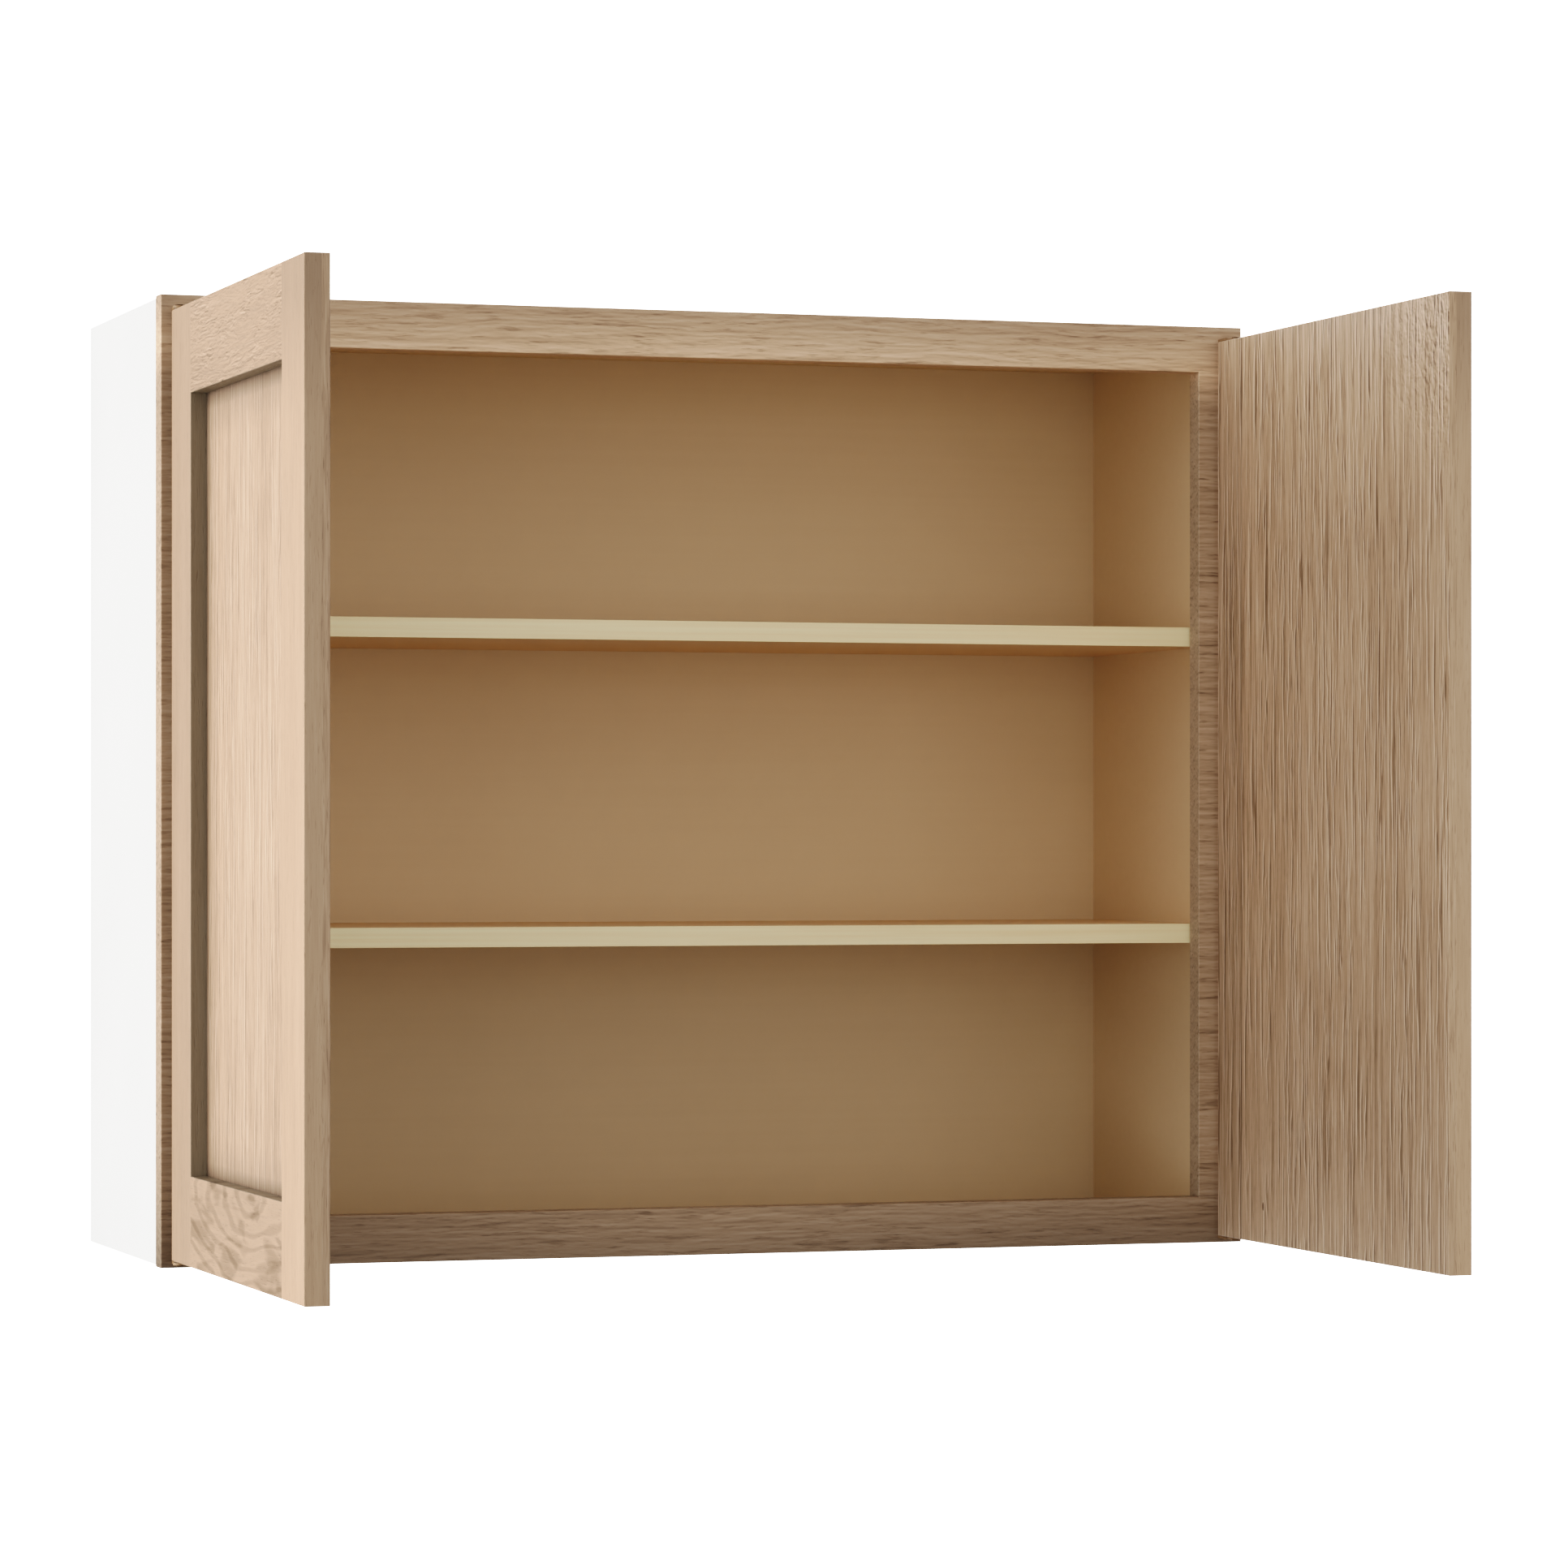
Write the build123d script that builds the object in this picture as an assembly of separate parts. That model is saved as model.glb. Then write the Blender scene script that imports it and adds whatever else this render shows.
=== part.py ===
from build123d import *
import os

# Hanging wall cabinet: a face-framed case with two fixed shelves and two framed doors on pivot hinges.
#
# Row frame, in millimetres: the origin is the centre of the wall-screw pattern, on the wall plane.
# +X is to the right of a person who faces the doors, +Y points into the wall, +Z is up.
# The doors are modelled standing open at a right angle. Left and right are that person's.
# Everything on the left is built first, and its mirror image in the YZ plane is the right.

# ---- Driving dimensions -------------------------------------------------------------------------

CABINET_WIDTH = 914.4
CABINET_HEIGHT = 762.0
CABINET_DEPTH = 304.8  # face frame included, doors not

FRAME_THICKNESS = 19.05
FRAME_MEMBER = 38.1  # width of the stiles and rails of the face frame
FRAME_OVERHANG = 4.0  # the face frame stands this far past the sides

BOARD = 15.875  # sides, top, bottom and shelves
FACING = 0.8  # laminate on the outside of each side, part of the board's thickness
EDGE_BAND = 0.8
BACK_THICKNESS = 6.35
GROOVE_DEPTH = 6.0  # the back panel's groove in the case
GROOVE_SLACK = 0.25
HANGING_RAIL_THICKNESS = 12.7
HANGING_RAIL_HEIGHT = 76.2

SHELF_TOPS = {"lower": 265.0, "upper": 512.5}  # above the cabinet's bottom
SHELF_SETBACK = 3.0  # from the back of the face frame to the shelf's front edge

WALL_SCREW_SPACING = 406.4  # two studs, 16 inches apart
WALL_SCREW_HOLE_RADIUS = 2.5

DOOR_THICKNESS = 19.05
DOOR_HEIGHT = 742.0
DOOR_MEMBER = 69.85  # width of a door's stiles and rails
DOOR_SHEET = 6.35  # the panel, one sheet over the door's whole back
DOOR_SIDE_REVEAL = 6.35  # face frame left showing outside the closed door
DOOR_BOTTOM_REVEAL = 6.5
DOOR_MEETING_GAP = 3.2  # between the two closed doors
DOOR_FRAME_GAP = 1.6  # between a closed door and the face frame
TENON_LENGTH = 10.0
TENON_THICKNESS = 4.0
TENON_HEIGHT = 50.0
MORTISE_ROOM = 1.0  # between a tenon's tip and the end of its mortise
JOINT_SLACK = 0.1

EASED_EDGE = 0.8  # radius on the edges that a hand meets

DOWEL_RADIUS = 4.0
THIN_DOWEL_RADIUS = 3.0
DOWEL_SLACK = 0.05  # around a dowel, for glue
DOWEL_END_SLACK = 0.5

# Pivot hinge: the pin stands this far inside the closed door's outer edge and front face.
PIVOT_INSET = 5.0
LEAF_THICKNESS = 2.0
FRAME_LEAF_WIDTH = 12.0
FRAME_LEAF_HEIGHT = 40.0
FRAME_LEAF_CENTRE = 14.7  # from the cabinet's outer edge
LEAF_NOSE_CUT = 4.0  # radius taken off the arm's far corner
DOOR_LEAF_LENGTH = 44.0
DOOR_LEAF_WIDTH = 10.0
DOOR_LEAF_INSET = 0.6  # from the door's outer edge and front face
HINGE_GAP = 1.1  # between the two leaves, round the washer
WASHER_THICKNESS = 0.8
WASHER_RADIUS = 4.5
PIN_RADIUS = 2.0
PIN_CLEARANCE = 0.05
PIN_HOLE_RADIUS = 2.4  # in the door's wood, clear of the pin
PIN_REACH = 12.0  # how far the pin goes into the door
PIN_HEAD_RADIUS = 3.2
PIN_HEAD_HEIGHT = 0.8

SCREW_LENGTH = 16.0
SCREW_RADIUS = 1.75
SCREW_HEAD_RADIUS = 3.3
SCREW_HEAD_DEPTH = 1.6
SCREW_SLACK = 0.05
DRIVE_WIDTH = 0.7
DRIVE_DEPTH = 0.9
FRAME_SCREW_OFFSETS = (16.0, 31.0)  # from the bend of the frame leaf
DOOR_SCREW_OFFSETS = (20.0, 35.0)  # from the door's outer edge

# ---- Places that follow from them ----------------------------------------------------------------

HALF_WIDTH = CABINET_WIDTH / 2
HALF_HEIGHT = CABINET_HEIGHT / 2
FRAME_FRONT = -CABINET_DEPTH
FRAME_BACK = FRAME_FRONT + FRAME_THICKNESS
SIDE_OUTER = HALF_WIDTH - FRAME_OVERHANG
SIDE_INNER = SIDE_OUTER - BOARD
INNER_HEIGHT = HALF_HEIGHT - BOARD
BACK_REAR = -HANGING_RAIL_THICKNESS
BACK_FRONT = BACK_REAR - BACK_THICKNESS
SHELF_FRONT = FRAME_BACK + SHELF_SETBACK

DOOR_BACK = FRAME_FRONT - DOOR_FRAME_GAP
DOOR_FRONT = DOOR_BACK - DOOR_THICKNESS
DOOR_OUTER = -HALF_WIDTH + DOOR_SIDE_REVEAL
DOOR_INNER = -DOOR_MEETING_GAP / 2
DOOR_BOTTOM = -HALF_HEIGHT + DOOR_BOTTOM_REVEAL
DOOR_TOP = DOOR_BOTTOM + DOOR_HEIGHT
SHEET_FRONT = DOOR_BACK - DOOR_SHEET

PIVOT_X = DOOR_OUTER + PIVOT_INSET
PIVOT_Y = DOOR_FRONT + PIVOT_INSET

parts = {}


# ---- Small makers --------------------------------------------------------------------------------


def span(one, other):
    """Two values in rising order."""
    return min(one, other), max(one, other)


def slab(x, y, z):
    """A box between two x, two y and two z values."""
    size = Box(x[1] - x[0], y[1] - y[0], z[1] - z[0])
    return Pos((x[0] + x[1]) / 2, (y[0] + y[1]) / 2, (z[0] + z[1]) / 2) * size


def rod(start, end, radius):
    """A cylinder whose axis runs from start to end."""
    run = Vector(*end) - Vector(*start)
    base = (Align.CENTER, Align.CENTER, Align.MIN)
    return Plane(origin=start, z_dir=run) * Cylinder(radius, run.length, align=base)


def group(solids):
    """Separate solids that share one node."""
    return Compound(children=list(solids))


def mirrored(shape):
    return mirror(shape, about=Plane.YZ)


def both_sides(solids):
    return list(solids) + [mirrored(solid) for solid in solids]


def eased_ring(outer, y, opening):
    """A rectangular frame between two y values, its front edges rounded over inside and out."""
    blank = slab(outer[0], y, outer[1])
    through = (y[0] - 1, y[1] + 1)
    ring = blank - slab(opening[0], through, opening[1])
    return fillet(ring.edges().group_by(Axis.Y)[0], EASED_EDGE)


class Dowel:
    """A dowel between two points, and the hole that it is glued into."""

    def __init__(self, start, end, radius=DOWEL_RADIUS):
        along = (Vector(*end) - Vector(*start)).normalized()
        slack = along * DOWEL_END_SLACK
        self.pin = rod(start, end, radius)
        self.hole = rod(tuple(Vector(*start) - slack), tuple(Vector(*end) + slack), radius + DOWEL_SLACK)


def drilled(shape, dowels):
    for dowel in dowels:
        shape = shape - dowel.hole
    return shape


# ---- Screws --------------------------------------------------------------------------------------


def wood_screw():
    """A countersunk screw with a cross drive: its head's face is at z = 0 and it points down."""
    head = Pos(0, 0, -SCREW_HEAD_DEPTH / 2) * Cone(SCREW_RADIUS, SCREW_HEAD_RADIUS, SCREW_HEAD_DEPTH)
    shank = rod((0, 0, -SCREW_HEAD_DEPTH), (0, 0, -SCREW_LENGTH + SCREW_RADIUS), SCREW_RADIUS)
    tip_centre = -SCREW_LENGTH + SCREW_RADIUS / 2
    tip = Pos(0, 0, tip_centre) * Cone(SCREW_RADIUS / 4, SCREW_RADIUS, SCREW_RADIUS)
    drive_span = (-SCREW_RADIUS, SCREW_RADIUS)
    drive_wide = (-DRIVE_WIDTH / 2, DRIVE_WIDTH / 2)
    drive_down = (-DRIVE_DEPTH, 1)
    cross = slab(drive_span, drive_wide, drive_down) + slab(drive_wide, drive_span, drive_down)
    return head + shank + tip - cross


def screw_hole():
    """The countersunk hole that wood_screw fits, through leaf and wood."""
    wide = SCREW_RADIUS + SCREW_SLACK
    sink = Cone(wide, SCREW_HEAD_RADIUS + SCREW_SLACK, SCREW_HEAD_DEPTH)
    sink = Pos(0, 0, -SCREW_HEAD_DEPTH / 2) * sink
    return sink + rod((0, 0, 0), (0, 0, -SCREW_LENGTH - DOWEL_END_SLACK), wide)


# ---- Face frame ----------------------------------------------------------------------------------

frame_ring = eased_ring(
    ((-HALF_WIDTH, HALF_WIDTH), (-HALF_HEIGHT, HALF_HEIGHT)),
    (FRAME_FRONT, FRAME_BACK),
    (
        (-HALF_WIDTH + FRAME_MEMBER, HALF_WIDTH - FRAME_MEMBER),
        (-HALF_HEIGHT + FRAME_MEMBER, HALF_HEIGHT - FRAME_MEMBER),
    ),
)
frame_depth = (FRAME_FRONT - 1, FRAME_BACK + 1)
stile_edge = HALF_WIDTH - FRAME_MEMBER
frame_centre = (FRAME_FRONT + FRAME_BACK) / 2

# Two dowels hold each rail to each stile.
FRAME_DOWEL_REACH = 20.0
FRAME_DOWEL_OFFSET = 9.5
frame_dowels = []
for level in (-1, 1):
    rail_centre = level * (HALF_HEIGHT - FRAME_MEMBER / 2)
    for offset in (-FRAME_DOWEL_OFFSET, FRAME_DOWEL_OFFSET):
        start = (-stile_edge - FRAME_DOWEL_REACH, frame_centre, rail_centre + offset)
        end = (-stile_edge + FRAME_DOWEL_REACH, frame_centre, rail_centre + offset)
        frame_dowels.append(Dowel(start, end, THIN_DOWEL_RADIUS))

# Dowels along Y hold the frame to the front edges of the case.
CASE_DOWEL_IN_FRAME = 10.0
CASE_DOWEL_IN_CASE = 20.0
core_centre = SIDE_INNER + (BOARD - FACING) / 2
case_dowel_run = (FRAME_BACK - CASE_DOWEL_IN_FRAME, FRAME_BACK + CASE_DOWEL_IN_CASE)


def case_dowel(x, z):
    return Dowel((x, case_dowel_run[0], z), (x, case_dowel_run[1], z), THIN_DOWEL_RADIUS)


side_case_dowels = [case_dowel(-core_centre, z) for z in (-250.0, 0.0, 250.0)]
top_case_dowels = [case_dowel(x, INNER_HEIGHT + BOARD / 2) for x in (-240.0, 0.0, 240.0)]
bottom_case_dowels = [case_dowel(x, -INNER_HEIGHT - BOARD / 2) for x in (-240.0, 0.0, 240.0)]

# ---- Case ----------------------------------------------------------------------------------------

case_depth = (FRAME_BACK, 0)
back_groove = slab(
    (-SIDE_INNER - GROOVE_DEPTH, SIDE_INNER + GROOVE_DEPTH),
    (BACK_FRONT, BACK_REAR),
    (-INNER_HEIGHT - GROOVE_DEPTH, INNER_HEIGHT + GROOVE_DEPTH),
)

# Three dowels hold each end of every horizontal board to the side.
BOARD_DOWEL_PLACES = (-245.0, -150.0, -55.0)
BOARD_DOWEL_IN_SIDE = 10.0
BOARD_DOWEL_IN_BOARD = 20.0


def board_dowels(centre):
    """The dowels at the left end of a board whose middle is at this height."""
    made = []
    for y in BOARD_DOWEL_PLACES:
        start = (-SIDE_INNER - BOARD_DOWEL_IN_SIDE, y, centre)
        end = (-SIDE_INNER + BOARD_DOWEL_IN_BOARD, y, centre)
        made.append(Dowel(start, end))
    return made


def board(centre, y, dowels):
    """A board between the sides, drilled at both ends."""
    made = slab((-SIDE_INNER, SIDE_INNER), y, (centre - BOARD / 2, centre + BOARD / 2))
    for dowel in dowels:
        made = made - dowel.hole - mirrored(dowel.hole)
    return made


top_dowels = board_dowels(INNER_HEIGHT + BOARD / 2)
bottom_dowels = board_dowels(-INNER_HEIGHT - BOARD / 2)
top = board(INNER_HEIGHT + BOARD / 2, case_depth, top_dowels)
bottom = board(-INNER_HEIGHT - BOARD / 2, case_depth, bottom_dowels)
parts["top_panel"] = drilled(top - back_groove, top_case_dowels)
parts["bottom_panel"] = drilled(bottom - back_groove, bottom_case_dowels)
parts["top_panel_dowels"] = group(both_sides([dowel.pin for dowel in top_dowels]))
parts["bottom_panel_dowels"] = group(both_sides([dowel.pin for dowel in bottom_dowels]))

# Fixed shelves, each with a thin band along its front edge.
shelf_dowels = []
for name, shelf_top in SHELF_TOPS.items():
    centre = shelf_top - HALF_HEIGHT - BOARD / 2
    dowels = board_dowels(centre)
    shelf_dowels += dowels
    parts[name + "_shelf"] = board(centre, (SHELF_FRONT + EDGE_BAND, BACK_FRONT), dowels)
    parts[name + "_shelf_edge_band"] = slab(
        (-SIDE_INNER, SIDE_INNER),
        (SHELF_FRONT, SHELF_FRONT + EDGE_BAND),
        (centre - BOARD / 2, centre + BOARD / 2),
    )
    parts[name + "_shelf_dowels"] = group(both_sides([dowel.pin for dowel in dowels]))

# The back panel sits in its groove, in front of the hanging rails.
back_reach = GROOVE_DEPTH - GROOVE_SLACK
parts["back_panel"] = slab(
    (-SIDE_INNER - back_reach, SIDE_INNER + back_reach),
    (BACK_FRONT, BACK_REAR),
    (-INNER_HEIGHT - back_reach, INNER_HEIGHT + back_reach),
)

# Two hanging rails behind the back panel carry the wall screws. Two dowels hold each end.
RAIL_DOWEL_OFFSET = 19.0
RAIL_DOWEL_IN_SIDE = 8.0
RAIL_DOWEL_IN_RAIL = 14.0
rail_dowels = []
for name, level in (("lower", -1), ("upper", 1)):
    centre = level * (INNER_HEIGHT - HANGING_RAIL_HEIGHT / 2)
    rail = slab(
        (-SIDE_INNER, SIDE_INNER),
        (-HANGING_RAIL_THICKNESS, 0),
        (centre - HANGING_RAIL_HEIGHT / 2, centre + HANGING_RAIL_HEIGHT / 2),
    )
    for x in (-WALL_SCREW_SPACING / 2, WALL_SCREW_SPACING / 2):
        rail = rail - rod((x, -HANGING_RAIL_THICKNESS - 1, centre), (x, 1, centre), WALL_SCREW_HOLE_RADIUS)
    for offset in (-RAIL_DOWEL_OFFSET, RAIL_DOWEL_OFFSET):
        start = (-SIDE_INNER - RAIL_DOWEL_IN_SIDE, -HANGING_RAIL_THICKNESS / 2, centre + offset)
        end = (-SIDE_INNER + RAIL_DOWEL_IN_RAIL, -HANGING_RAIL_THICKNESS / 2, centre + offset)
        dowel = Dowel(start, end, THIN_DOWEL_RADIUS)
        rail_dowels.append(dowel)
        rail = rail - dowel.hole - mirrored(dowel.hole)
    parts[name + "_hanging_rail"] = rail
parts["hanging_rail_dowels"] = group(both_sides([dowel.pin for dowel in rail_dowels]))

# Sides: a board with a laminate facing on its outside.
side = slab((-SIDE_OUTER + FACING, -SIDE_INNER), case_depth, (-HALF_HEIGHT, HALF_HEIGHT))
board_end_dowels = top_dowels + bottom_dowels + shelf_dowels + rail_dowels
side = drilled(side - back_groove, board_end_dowels + side_case_dowels)
parts["left_side_panel"] = side
parts["left_side_facing"] = slab(
    (-SIDE_OUTER, -SIDE_OUTER + FACING), case_depth, (-HALF_HEIGHT, HALF_HEIGHT)
)

# ---- Pivot hinges, frame half --------------------------------------------------------------------

leaf_x = (
    -HALF_WIDTH + FRAME_LEAF_CENTRE - FRAME_LEAF_WIDTH / 2,
    -HALF_WIDTH + FRAME_LEAF_CENTRE + FRAME_LEAF_WIDTH / 2,
)
hinge_ends = {"lower": (DOOR_BOTTOM, -1), "upper": (DOOR_TOP, 1)}  # the door's end, and which way is out


def upright(low_or_high, other, x=PIVOT_X, y=PIVOT_Y):
    """The two ends of a vertical axis."""
    return (x, y, low_or_high), (x, y, other)


def tab_of(outer_face, outward):
    """The flat tab of a frame leaf, which is let in flush with the stile's front."""
    tab_end = outer_face - outward * FRAME_LEAF_HEIGHT
    return slab(leaf_x, (FRAME_FRONT, FRAME_FRONT + LEAF_THICKNESS), span(outer_face, tab_end))


def arm_of(inner_face, outer_face):
    """The arm of a frame leaf, which reaches forward over the door's end to the pin."""
    arm = span(inner_face, outer_face)
    plate = slab(leaf_x, (PIVOT_Y, FRAME_FRONT), arm)
    eye = rod(*upright(*arm), PIVOT_INSET)
    nose = slab((PIVOT_X, leaf_x[1]), (PIVOT_Y - PIVOT_INSET, PIVOT_Y), arm)
    corner_cut = rod(*upright(*arm, x=leaf_x[1], y=PIVOT_Y - PIVOT_INSET), LEAF_NOSE_CUT)
    return plate + eye + (nose - corner_cut)


frame_screws = []
frame_screw_holes = []
frame_tabs = []
for name, (door_end, outward) in hinge_ends.items():
    inner_face = door_end + outward * HINGE_GAP
    outer_face = inner_face + outward * LEAF_THICKNESS
    frame_tabs.append(tab_of(outer_face, outward))
    leaf = frame_tabs[-1] + arm_of(inner_face, outer_face)
    for offset in FRAME_SCREW_OFFSETS:
        place = Location((-HALF_WIDTH + FRAME_LEAF_CENTRE, FRAME_FRONT, outer_face - outward * offset))
        place = place * Location((0, 0, 0), (90, 0, 0))
        frame_screws.append(place * wood_screw())
        frame_screw_holes.append(place * screw_hole())
        leaf = leaf - frame_screw_holes[-1]
    shaft = rod(*upright(outer_face, door_end - outward * PIN_REACH), PIN_RADIUS)
    head = rod(*upright(outer_face, outer_face + outward * PIN_HEAD_HEIGHT), PIN_HEAD_RADIUS)
    parts["left_" + name + "_hinge_frame_leaf"] = leaf - shaft
    parts["left_" + name + "_hinge_pin"] = shaft + head
parts["hinge_frame_screws"] = group(both_sides(frame_screws))

# The stiles run the full height, with the rails between them.
stile = frame_ring & slab((-HALF_WIDTH, -stile_edge), frame_depth, (-HALF_HEIGHT, HALF_HEIGHT))
stile = drilled(stile, frame_dowels + side_case_dowels)
for cut in frame_tabs + frame_screw_holes:
    stile = stile - cut
parts["face_frame_left_stile"] = stile

for name, level, dowels in (("bottom", -1, bottom_case_dowels), ("top", 1, top_case_dowels)):
    height = span(level * (HALF_HEIGHT - FRAME_MEMBER), level * HALF_HEIGHT)
    rail = drilled(frame_ring & slab((-stile_edge, stile_edge), frame_depth, height), dowels)
    for dowel in frame_dowels:
        rail = rail - dowel.hole - mirrored(dowel.hole)
    parts["face_frame_" + name + "_rail"] = rail
parts["face_frame_joint_dowels"] = group(both_sides([dowel.pin for dowel in frame_dowels]))
parts["face_frame_case_dowels"] = group(
    both_sides([dowel.pin for dowel in side_case_dowels])
    + [dowel.pin for dowel in top_case_dowels + bottom_case_dowels]
)

# ---- Left door, built closed ---------------------------------------------------------------------

door = {}
door_ring = eased_ring(
    ((DOOR_OUTER, DOOR_INNER), (DOOR_BOTTOM, DOOR_TOP)),
    (DOOR_FRONT, SHEET_FRONT),
    (
        (DOOR_OUTER + DOOR_MEMBER, DOOR_INNER - DOOR_MEMBER),
        (DOOR_BOTTOM + DOOR_MEMBER, DOOR_TOP - DOOR_MEMBER),
    ),
)
ring_depth = (DOOR_FRONT - 1, SHEET_FRONT)
tenon_centre = (DOOR_FRONT + SHEET_FRONT) / 2

# Each rail has a stub tenon at both ends, and each stile the matching mortises.


def tenon(shoulder, tip, middle, slack=0.0):
    """The tongue between a rail's shoulder and its tip, or with slack the mortise that it fits."""
    half_thick = TENON_THICKNESS / 2 + slack
    half_high = TENON_HEIGHT / 2 + slack
    thick = (tenon_centre - half_thick, tenon_centre + half_thick)
    return slab(span(shoulder, tip), thick, (middle - half_high, middle + half_high))


shoulders = (DOOR_OUTER + DOOR_MEMBER, DOOR_INNER - DOOR_MEMBER)
door_height = (DOOR_BOTTOM, DOOR_TOP)
hinge_stile = door_ring & slab((DOOR_OUTER, shoulders[0]), ring_depth, door_height)
latch_stile = door_ring & slab((shoulders[1], DOOR_INNER), ring_depth, door_height)
for name, low in (("bottom", DOOR_BOTTOM), ("top", DOOR_TOP - DOOR_MEMBER)):
    rail = door_ring & slab(shoulders, ring_depth, (low, low + DOOR_MEMBER))
    middle = low + DOOR_MEMBER / 2
    for shoulder, outward in zip(shoulders, (-1, 1)):
        rail = rail + tenon(shoulder, shoulder + outward * TENON_LENGTH, middle)
        mortise = tenon(shoulder, shoulder + outward * (TENON_LENGTH + MORTISE_ROOM), middle, JOINT_SLACK)
        hinge_stile = hinge_stile - mortise
        latch_stile = latch_stile - mortise
    door["door_" + name + "_rail"] = rail

sheet = slab((DOOR_OUTER, DOOR_INNER), (SHEET_FRONT, DOOR_BACK), door_height)
door["door_back_sheet"] = fillet(sheet.edges().group_by(Axis.Y)[-1], EASED_EDGE)

# Door half of the pivot hinges: a leaf let into each end of the hinge stile.
leaf_span = (DOOR_OUTER + DOOR_LEAF_INSET, DOOR_OUTER + DOOR_LEAF_INSET + DOOR_LEAF_LENGTH)
leaf_depth = (DOOR_FRONT + DOOR_LEAF_INSET, DOOR_FRONT + DOOR_LEAF_INSET + DOOR_LEAF_WIDTH)
leaf_middle = (leaf_depth[0] + leaf_depth[1]) / 2
door_screws = []
washers = []
for name, (door_end, outward) in hinge_ends.items():
    under = door_end - outward * LEAF_THICKNESS
    seat = slab(leaf_span, leaf_depth, span(under, door_end))
    leaf = seat - rod(*upright(under, door_end), PIN_RADIUS + PIN_CLEARANCE)
    pin_room = rod(*upright(door_end, door_end - outward * (PIN_REACH + DOWEL_END_SLACK)), PIN_HOLE_RADIUS)
    hinge_stile = hinge_stile - seat - pin_room
    for offset in DOOR_SCREW_OFFSETS:
        place = Location((DOOR_OUTER + offset, leaf_middle, door_end))
        place = place * Location((0, 0, 0), (0 if outward > 0 else 180, 0, 0))
        door_screws.append(place * wood_screw())
        leaf = leaf - place * screw_hole()
        hinge_stile = hinge_stile - place * screw_hole()
    washer_axis = upright(door_end, door_end + outward * WASHER_THICKNESS)
    washers.append(rod(*washer_axis, WASHER_RADIUS) - rod(*washer_axis, PIN_RADIUS + PIN_CLEARANCE))
    door[name + "_hinge_door_leaf"] = leaf

door["door_hinge_stile"] = hinge_stile
door["door_latch_stile"] = latch_stile
door["door_hinge_screws"] = group(door_screws)
door["door_hinge_washers"] = group(washers)

# The door turns a quarter turn on its pins to stand open.
pivot = Axis((PIVOT_X, PIVOT_Y, 0), (0, 0, 1))
for name, shape in door.items():
    parts["left_" + name] = shape.rotate(pivot, -90)

# ---- The right-hand pieces mirror the left-hand ones ---------------------------------------------

for name in list(parts):
    if "left_" in name:
        parts[name.replace("left_", "right_")] = mirrored(parts[name])

os.makedirs("parts", exist_ok=True)
for name, shape in parts.items():
    export_step(shape, "parts/" + name + ".step")
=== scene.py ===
import math

import bpy
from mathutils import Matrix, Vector


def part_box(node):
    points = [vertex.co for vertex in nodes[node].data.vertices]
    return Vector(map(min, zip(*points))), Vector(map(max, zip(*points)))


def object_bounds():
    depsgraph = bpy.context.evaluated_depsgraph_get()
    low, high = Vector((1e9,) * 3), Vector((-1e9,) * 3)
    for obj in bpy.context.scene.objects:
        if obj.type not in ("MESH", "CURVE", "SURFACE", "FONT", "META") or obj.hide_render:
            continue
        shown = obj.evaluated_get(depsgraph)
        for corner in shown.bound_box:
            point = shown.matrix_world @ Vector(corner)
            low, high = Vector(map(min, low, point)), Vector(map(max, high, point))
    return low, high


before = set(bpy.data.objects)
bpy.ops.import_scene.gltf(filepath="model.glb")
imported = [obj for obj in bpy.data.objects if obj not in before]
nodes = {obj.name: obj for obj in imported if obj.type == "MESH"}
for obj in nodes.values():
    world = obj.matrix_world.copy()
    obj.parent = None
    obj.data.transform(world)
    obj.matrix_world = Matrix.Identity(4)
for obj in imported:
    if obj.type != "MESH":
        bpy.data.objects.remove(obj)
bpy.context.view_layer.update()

# The hanging wall cabinet's looks. Every visible piece is a CAD node: it gets a procedural material
# here, and some boards also get a fine rounding on their edges. Metres, in the row frame. At rest the
# doors stand open at a right angle, and left and right are those of a person who faces the cabinet.

scene = bpy.context.scene

AXES = {"x": 0, "y": 1, "z": 2}

FORWARD = (0.0, -1.0, 0.0)  # also from an open door's hinge to its free edge
BACKWARD = (0.0, 1.0, 0.0)
UP = (0.0, 0.0, 1.0)
DOWN = (0.0, 0.0, -1.0)
LEFT = (-1.0, 0.0, 0.0)
RIGHT = (1.0, 0.0, 0.0)

# Which way the faces of an open door look.
OUTWARD = {"left": LEFT, "right": RIGHT}
INWARD = {"left": RIGHT, "right": LEFT}


def srgb(red, green, blue):
    """A display colour, 0 to 255, as a linear one."""
    linear = []
    for value in (red, green, blue):
        share = value / 255
        linear.append(share / 12.92 if share <= 0.04045 else ((share + 0.055) / 1.055) ** 2.4)
    return (*linear, 1.0)


def grain_scale(grain, length, width):
    """Scales that make noise features this long along the grain and this wide across it, in metres."""
    scale = [1 / width] * 3
    scale[AXES[grain]] = 1 / length
    return tuple(scale)


def dress(material, *names):
    """Gives CAD nodes their material."""
    for name in names:
        slots = nodes[name].data.materials
        slots.clear()
        slots.append(material)


# ---- Node trees ----------------------------------------------------------------------------------

ONES = (1.0, 1.0, 1.0)


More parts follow.
